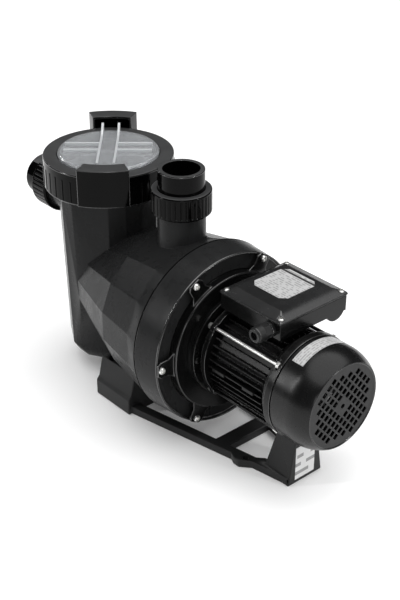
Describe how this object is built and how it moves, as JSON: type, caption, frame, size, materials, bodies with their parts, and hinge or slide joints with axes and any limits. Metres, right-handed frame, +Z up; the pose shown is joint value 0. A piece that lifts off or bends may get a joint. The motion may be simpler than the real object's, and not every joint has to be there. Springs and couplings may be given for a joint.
{
  "type": "pool pump",
  "caption": "Self-priming swimming pool pump: faceted strainer pot with clear screw-ring lid, threaded unions, finned motor with terminal box and fan cover, on a moulded base frame.",
  "frame": {"origin": "middle of the footprint on the floor, under the middle of the whole pump", "axes": "+X along the shaft from the suction union to the fan cover, +Y across the pump, +Z up"},
  "size_m": [0.636, 0.254, 0.3625],
  "materials": {
    "body_black": "charcoal black glass-filled plastic, semi-matt, moulded facets",
    "ring_gloss": "glossy black ABS with a satin top face",
    "union_gloss": "glossy black PVC",
    "plate_black": "black glass-filled plastic, semi-matt",
    "motor_black": "black paint on cast and extruded aluminium",
    "cover_black": "semi-gloss black plastic with a dull flat end",
    "box_grey": "charcoal satin plastic",
    "base_black": "charcoal satin plastic",
    "zinc": "bright zinc-plated steel",
    "stainless": "ground stainless steel",
    "clear": "clear polycarbonate",
    "rubber": "black nitrile rubber",
    "basket_white": "pale grey polypropylene",
    "nylon_black": "black glass-filled nylon",
    "laminations": "stacked steel sheet",
    "copper": "enamelled copper wire",
    "ceramic_white": "polished ceramic seal face",
    "can_aluminium": "drawn aluminium can",
    "label_white": "blank printed film label, off-white"
  },
  "bodies": {
    "casing": {"base_frame": "base_black", "base_screws": "zinc", "pump_body": "body_black", "volute_ring": "body_black", "seal_plate": "plate_black", "flange_screws": "zinc", "shield_bolts": "zinc", "body_o_ring": "rubber", "diffuser": "nylon_black", "diffuser_o_ring": "rubber", "seal_seat": "ceramic_white", "pot_drain_o_ring": "rubber", "front_bearing": "stainless", "rear_bearing": "stainless", "front_shield": "motor_black", "motor_housing": "motor_black", "stator_core": "laminations", "stator_winding": "copper", "wave_washer": "stainless", "rear_shield": "motor_black", "tie_rods": "zinc", "tie_rod_nuts": "zinc", "fan_cover": "cover_black", "terminal_box": "box_grey", "box_lid": "box_grey", "box_gasket": "rubber", "box_lid_screws": "zinc", "terminal_block": "nylon_black", "capacitor": "can_aluminium", "gland_body": "nylon_black", "gland_seal": "rubber", "rating_label": "label_white", "cover_label": "label_white", "base_label": "label_white", "discharge_union_end": "union_gloss", "discharge_o_ring": "rubber", "suction_union_end": "union_gloss", "suction_o_ring": "rubber"},
    "rotor_set": {"shaft": "stainless", "impeller_nut": "nylon_black", "impeller": "nylon_black", "seal_head": "stainless", "slinger": "rubber", "rotor": "laminations", "cooling_fan": "nylon_black"},
    "lid": {"clear_lid": "clear", "lid_o_ring": "rubber"},
    "lock_ring": {"lock_ring": "ring_gloss"},
    "basket": {"basket": "basket_white"},
    "basket_handle": {"basket_handle": "basket_white"},
    "discharge_nut": {"discharge_nut": "union_gloss"},
    "suction_nut": {"suction_nut": "union_gloss"},
    "gland_nut": {"gland_nut": "nylon_black"},
    "drain_plug": {"pot_drain_plug": "nylon_black"}
  },
  "joints": [
    {"name": "shaft_spin", "type": "hinge", "parent": "casing", "child": "rotor_set", "pos_m": [0, 0, 0.145], "axis": [1, 0, 0], "continuous": true},
    {"name": "lid_lift", "type": "slide", "parent": "casing", "child": "lid", "axis": [0, 0, 1], "range_m": [0, 0.16]},
    {"name": "ring_turn", "type": "hinge", "parent": "lid", "child": "lock_ring", "pos_m": [-0.1475, 0, 0.31], "axis": [0, 0, 1], "range_deg": [0, 60]},
    {"name": "basket_lift", "type": "slide", "parent": "casing", "child": "basket", "axis": [0, 0, 1], "range_m": [0, 0.08]},
    {"name": "handle_swing", "type": "hinge", "parent": "basket", "child": "basket_handle", "pos_m": [-0.1475, 0, 0.308], "axis": [1, 0, 0], "range_deg": [0, 90]},
    {"name": "discharge_nut_turn", "type": "hinge", "parent": "casing", "child": "discharge_nut", "pos_m": [0.0117, 0, 0.318], "axis": [0, 0, 1], "range_deg": [0, 720]},
    {"name": "suction_nut_turn", "type": "hinge", "parent": "casing", "child": "suction_nut", "pos_m": [-0.2735, 0, 0.246], "axis": [-1, 0, 0], "range_deg": [0, 720]},
    {"name": "gland_nut_turn", "type": "hinge", "parent": "casing", "child": "gland_nut", "pos_m": [0.222, -0.052, 0.2275], "axis": [0, -1, 0], "range_deg": [0, 1080]},
    {"name": "drain_plug_turn", "type": "hinge", "parent": "casing", "child": "drain_plug", "pos_m": [-0.1475, 0, 0.026], "axis": [0, 0, -1], "range_deg": [0, 1080]}
  ],
  "couplings": [
    {"joint": "basket_lift", "follows": "lid_lift", "ratio": 0.5},
    {"joint": "handle_swing", "follows": "lid_lift", "rad_per_m": 9.81}
  ]
}
